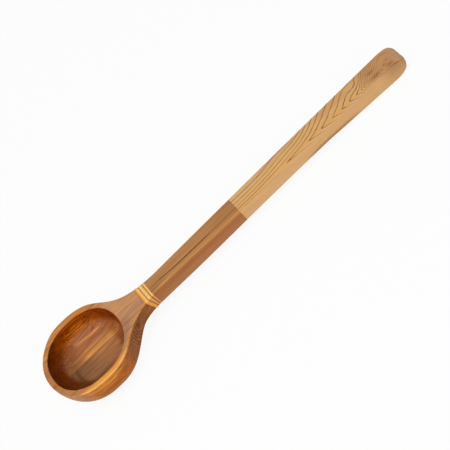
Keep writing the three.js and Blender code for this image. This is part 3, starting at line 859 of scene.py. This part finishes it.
def dark_figure(points):
    """The dark length's colours: tan-brown on top, redder on the sides, with a pale stripe of painted
    highlight along the near edge and two faint dark lines beside the streak. The streak is its one ring line,
    which bends away from the middle and fades towards the joint."""
    x, y, z = np.moveaxis(points, -1, 0)
    upright = smooth(-z, 0.3, 1.2)
    past_band = x - band_faces[-1]
    by_band = 1.0 - smooth(past_band, 12.0, 24.0)
    past_bend = smooth(past_band, 14.0, 24.0) * (1.0 - smooth(past_band, 34.0, 60.0))
    down_side = np.maximum(-z, 0.0) * ease(past_band, (30.0, 1.0), (100.0, 0.6))
    over_edge = np.hypot(np.maximum(y + handle_half_width(x) - 0.8, 0.0), down_side)
    tone = painted(
        DARK_TOP_TONE,
        (DARK_JOINT_TONE, smooth(past_band, 55.0, 100.0)),
        (DARK_STREAK_COLOUR, 0.1 * by_band * around_line(y + 3.5, 4.0)),
        (DARK_STREAK_COLOUR, 0.45 * by_band * around_line(y + 6.0, 0.8)),
        (DARK_STREAK_COLOUR, 0.12 * past_bend * around_line(y + 5.0, 1.0)),
        (DARK_SIDE_TONE, upright),
        (DARK_LOW_TONE, 0.8 * smooth(-z, 7.0, 12.0)),
        # A painted highlight along the near top edge, where the rounding turns down.
        (DARK_EDGE_HIGHLIGHT_TONE, 0.65 * around_line(over_edge, 1.6) * smooth(past_band, 0.0, 14.0)))
    bend = STREAK_BEND * np.exp(-np.maximum(past_band - STREAK_BEND_START, 0.0) / STREAK_BEND_REACH)
    from_streak = y - STREAK_PLACE - bend
    return {
        "tone": tone,
        "rings": STREAK_RING + STREAK_RING_RATE * from_streak,
        "line_share": 0.2,
        "ring_strength": ease(past_band, *STREAK_STRENGTH) * (1.0 - upright) * around_line(from_streak, 2.6),
        "waviness": 0.0,
        "grain": 1.0,
    }


x = np.linspace(band_faces[-1], joint_at, LOWER_HANDLE_RINGS)
rings = handle_bar(x, handle_half_width(x), 0.0, -handle_depth(x))
dark_wood = oiled_wood("dark_handle_wood", DARK_STREAK_COLOUR, fibre_contrast=0.45, fibre_width=1.0)
lower_handle = skin("dark_handle_length", rings, dark_figure(rings), dark_wood)
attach(lower_handle, "root")
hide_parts("handle_lower")

# Upper handle: a length of pale softwood with wide rings, butted and doweled to the dark one. It thins and
# then thickens to the heel, and its end is rounded over from all sides. A knot lies near the end.
NOSE_TOP_LENGTH = 17.0
NOSE_TOP_DROP = 7.5
NOSE_UNDER_RISE = 10.6
END_CORNER_RADIUS = 6.0
UPPER_HANDLE_RINGS = 260
NOSE_RINGS = 40
PALE_TONE = colour(218, 171, 112)
PALE_GOLD_TONE = colour(222, 166, 92)
PALE_SHADE_TONE = colour(200, 151, 101)
PALE_SIDE_TONE = colour(221, 174, 118)
PALE_LOW_EDGE_TONE = colour(178, 124, 86)
PALE_HEEL_TONE = colour(190, 143, 99)
PALE_END_TONE = colour(204, 156, 115)
KNOT_TONE = colour(146, 98, 64)
PALE_RING_COLOUR = colour(134, 76, 50)
KNOT_PATCHES = (
    (369.0, 0.8, 4.5, 2.0), (371.0, -7.0, 6.5, 2.4), (387.6, -8.0, 4.6, 2.9), (383.5, -3.7, 1.8, 1.6),
    (388.0, -0.6, 2.6, 1.1))
ARCHES_PAST_JOINT = 23.0
ARCHES_REACH = 60.0
HEART_LINE = -7.3
HEART_BEND = 1.4
END_EYE = (388.0, -7.5)
END_EYE_STRETCH = (1.07, 0.77)
END_EYE_COUNT = 24.5
END_EYE_RATE = 0.5
FAR_SLOPE = ((230.0, 0.285), (256.0, 0.258), (268.0, 0.256), (318.0, 0.13))
KNOT_SLOPE = ((336.0, 0.0), (356.0, 0.16), (374.0, 0.24))
NEAR_SLOPE = 0.22
FAR_EDGE_SHADE = ((222.0, 0.0), (236.0, 0.8), (268.0, 0.8), (282.0, 0.4), (330.0, 0.4), (350.0, 0.0))
RIDGE_LINE = ((368.0, 0.0), (378.0, 0.3), (388.0, 0.5), (393.0, 1.0), (400.0, 1.0), (401.5, 0.0))
RING_FADING = ((345.0, 1.0), (360.0, 0.75), (374.0, 0.65), (386.0, 0.3))
PROBE = 0.2


def rounded_off(x, start, length, drop):
    """What a quarter of an ellipse takes off a face, from its start to its full drop a length further on."""
    return drop * (1.0 - np.sqrt(1.0 - np.clip((x - start) / length, 0.0, 1.0) ** 2))


def end_breadth(x):
    """Half-breadth of the pale length, with the corners of its end rounded."""
    corner = rounded_off(x, handle_end - END_CORNER_RADIUS, END_CORNER_RADIUS, END_CORNER_RADIUS)
    return handle_half_width(x) - corner


def end_top(x):
    """Height of the pale length's top face, which drops over the nose."""
    return -rounded_off(x, handle_end - NOSE_TOP_LENGTH, NOSE_TOP_LENGTH, NOSE_TOP_DROP)


def from_end_eye(x, y):
    """Distance from the eye at the handle's end, stretched each way."""
    return np.hypot((x - END_EYE[0]) * END_EYE_STRETCH[0], (y - END_EYE[1]) * END_EYE_STRETCH[1])


def pale_ring_count(x, y):
    """Count of the pale length's rings. Along the heart line it rises with the way past the joint and with
    the cube of it, and once more at the knot. To both sides of it the count falls off by a slope, which the
    knot makes steeper, so that the rings open in long arches. At the end it goes over, by a soft maximum,
    to rings counted down with the distance from the eye."""
    way = np.clip((x - joint_at - ARCHES_PAST_JOINT) / ARCHES_REACH, 0.0, 2.6)
    heart = 4.3 + 0.97 * way + 0.445 * way ** 3 + 8.0 * smooth(x, 349.0, 385.0)
    heart = heart - 0.15 * smooth(x, 215.0, 248.0) * (1.0 - smooth(x, 284.0, 304.0))
    aside = y - HEART_LINE + HEART_BEND * (1.0 - smooth(x, 216.0, 300.0))
    far_slope = ease(x, *FAR_SLOPE) - 0.003 * aside * (1.0 - smooth(x, 240.0, 290.0))
    by_knot = ease(x, *KNOT_SLOPE) * np.minimum(aside, 9.0 + 11.0 * smooth(x, 352.0, 366.0))
    fall = np.where(aside > 0.0, far_slope * aside + by_knot, -NEAR_SLOPE * aside)
    arches = heart - fall - END_EYE_RATE * np.maximum(x - END_EYE[0], 0.0)
    round_eye = END_EYE_COUNT - END_EYE_RATE * from_end_eye(x, y)
    return np.logaddexp(2.0 * arches, 2.0 * round_eye) / 2.0


def pale_figure(points):
    """The pale length's rings and colours. The share of a ring that its line takes grows with how closely
    the rings lie, and the count goes on down the sides. The top is gold along the heart line and shaded
    along the far edge and towards the end, with dark patches at the knot and the eye."""
    x, y, z = np.moveaxis(points, -1, 0)
    top = end_top(x)
    upright = smooth(top - z, 0.1, 0.8)
    count = pale_ring_count(x, y)
    crowding = np.hypot(pale_ring_count(x + PROBE, y) - count, pale_ring_count(x, y + PROBE) - count) / PROBE
    far_edge = ease(x, *FAR_EDGE_SHADE) * smooth(y - end_breadth(x), -4.0, -2.0)
    far_half = 0.6 * smooth(y, -1.0, 5.0) * smooth(x, 296.0, 312.0) * (1.0 - smooth(x, 336.0, 350.0))
    patches = [
        around_line(np.hypot((x - place_x) / length, (y - place_y) / breadth), 1.0)
        for place_x, place_y, length, breadth in KNOT_PATCHES]
    side = painted(
        PALE_SIDE_TONE,
        (PALE_HEEL_TONE, smooth(x, 368.0, 389.0) * (1.0 - 0.5 * smooth(-z, 6.0, 14.0))))
    # A dark line along the near ridge at the nose, where sanding left a crisp edge, partly painted shade.
    ridge = ease(x, *RIDGE_LINE) * around_line(np.hypot(y + end_breadth(x), z - top), 0.85)
    low_edge = smooth(-z - handle_depth(x), -5.5, -1.0) * smooth(-y - handle_half_width(x), -1.8, -0.3)
    low_edge = low_edge * smooth(x, 266.0, 288.0) * (1.0 - smooth(x, 320.0, 345.0))
    tone = painted(
        PALE_TONE,
        (PALE_GOLD_TONE, 0.5 * around_line(y + 6.5, 4.0) * (1.0 - smooth(x, 345.0, 362.0))),
        (PALE_SHADE_TONE, smooth(x + 0.9 * y, 344.0, 374.0)),
        (PALE_SHADE_TONE, np.maximum(far_edge, far_half)),
        *((KNOT_TONE, 0.7 * patch * (1.0 - upright)) for patch in patches),
        (PALE_RING_COLOUR, 0.3 * around_line(from_end_eye(x, y) - 12.0, 0.8) * smooth(x, 378.0, 384.0)),
        (side, upright),
        (PALE_RING_COLOUR, ridge),
        (PALE_LOW_EDGE_TONE, low_edge),
        (PALE_END_TONE, 0.8 * smooth(x, handle_end - 11.0, handle_end - 3.0) * (1.0 - 0.8 * upright)))
    near_edge = smooth(-y, 8.0, 10.0) * smooth(x, 216.0, 250.0)
    return {
        "tone": tone,
        "rings": count + 0.45 * np.minimum(z - top, 0.0),
        "line_share": np.clip((1.0 + 0.4 * smooth(x, 270.0, 305.0)) * crowding, 0.1, 0.6),
        "ring_strength": (0.88 - 0.66 * upright) * (1.0 - 0.35 * near_edge) * ease(x, *RING_FADING),
        "waviness": 0.1 + 0.12 * smooth(x, 290.0, 320.0) + 0.5 * smooth(x, 340.0, 362.0),
        "grain": 1.0,
    }


nose_turn = np.linspace(0.0, math.pi / 2, NOSE_RINGS)
x = np.concatenate([
    np.linspace(joint_at, handle_end - NOSE_TOP_LENGTH, UPPER_HANDLE_RINGS, endpoint=False),
    handle_end - NOSE_TOP_LENGTH * (1.0 - np.sin(nose_turn))])
heel_rise = rounded_off(x, heel_at, NOSE_UNDER_LENGTH, NOSE_UNDER_RISE)
rings = handle_bar(x, end_breadth(x), end_top(x), heel_rise - handle_depth(x))
pale_wood = oiled_wood("pale_handle_wood", PALE_RING_COLOUR, fibre_contrast=0.2, waviness=1.6)
upper_handle = skin("pale_handle_length", rings, pale_figure(rings), pale_wood)
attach(upper_handle, "root")
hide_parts("handle_upper")

# Dowels: four short birch pegs, hidden across the end-grain joints of the neck and the handle.
# They are the frame's own pieces, with a plain fibrous wood.
DOWEL_COLOUR = (*colour(217, 189, 144), 1.0)
DOWEL_DARK_COLOUR = (*colour(196, 164, 118), 1.0)
DOWEL_FIBRES = (40.0, 1600.0, 1600.0)
DOWEL_ROUGHNESS = 0.7

dowel_wood = bpy.data.materials.new("dowel_wood")
tree = emptied(dowel_wood)
place = add_node(tree, "ShaderNodeTexCoord").outputs["Object"]
drawn_out = add_node(tree, "ShaderNodeMapping", {"Vector": place, "Scale": DOWEL_FIBRES}).outputs[0]
fibres = add_node(tree, "ShaderNodeTexNoise", {"Vector": drawn_out, "Scale": 1.0, "Detail": 2.0})
dowel_colour = blend(tree, fibres.outputs["Fac"], DOWEL_DARK_COLOUR, DOWEL_COLOUR)
surface = add_node(tree, "ShaderNodeBsdfPrincipled", {
    "Base Color": dowel_colour, "Roughness": DOWEL_ROUGHNESS})
add_node(tree, "ShaderNodeOutputMaterial", {"Surface": surface.outputs[0]})
for joint in ("neck", "handle"):
    for side in ("near", "far"):
        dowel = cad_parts[f"{joint}_dowel_{side}"]
        dowel.data.materials.clear()
        dowel.data.materials.append(dowel_wood)
